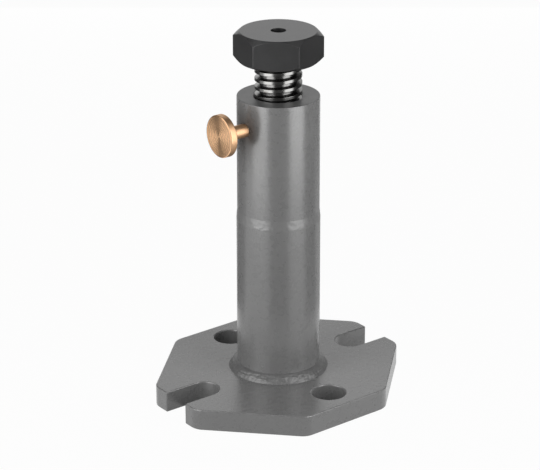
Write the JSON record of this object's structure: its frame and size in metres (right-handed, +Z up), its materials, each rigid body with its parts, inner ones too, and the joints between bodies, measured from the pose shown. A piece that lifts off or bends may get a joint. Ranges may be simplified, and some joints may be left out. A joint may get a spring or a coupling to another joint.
{
  "type": "machinist jack",
  "caption": "Machinist jack: a hex-headed steel screw rises from a welded tube column on an eight-sided base plate with clamping slots and holes, locked by a brass thumb screw",
  "frame": {"origin": "centre of the base plate's underside, on the column's axis", "axes": "+Z up along the column, X and Y along the base plate's sides"},
  "size_m": [0.137, 0.142, 0.225],
  "materials": {
    "grey_paint": "satin grey paint with a slight orange-peel texture",
    "bright_steel": "bright turned steel, lightly oiled",
    "black_steel": "black oxide",
    "brass": "turned brass"
  },
  "bodies": {
    "column": {"base_plate": "grey_paint", "lower_tube": "grey_paint", "threaded_sleeve": "grey_paint", "base_weld": "grey_paint", "seam_weld": "grey_paint"},
    "washer": {"stop_washer": "bright_steel"},
    "spindle": {"spindle": "bright_steel", "hex_head": "black_steel", "retaining_screw": "black_steel"},
    "plug": {"lock_plug": "brass"},
    "lock": {"lock_screw": "brass"}
  },
  "joints": [
    {"name": "spindle_rise", "type": "slide", "parent": "column", "child": "washer", "axis": [0, 0, 1], "range_m": [-0.02, 0.025]},
    {"name": "spindle_turn", "type": "hinge", "parent": "washer", "child": "spindle", "pos_m": [0, 0, 0.2], "axis": [0, 0, 1], "range_deg": [-1442, 1802]},
    {"name": "lock_advance", "type": "slide", "parent": "column", "child": "plug", "axis": [-0.7071, -0.7071, 0], "range_m": [-0.00025, 0.0025]},
    {"name": "lock_turn", "type": "hinge", "parent": "plug", "child": "lock", "pos_m": [0, 0, 0.1688], "axis": [-0.7071, -0.7071, 0], "range_deg": [-73, 721]}
  ],
  "couplings": [
    {"joint": "spindle_turn", "follows": "spindle_rise", "rad_per_m": 1256.6},
    {"joint": "lock_turn", "follows": "lock_advance", "rad_per_m": 5026.5}
  ]
}
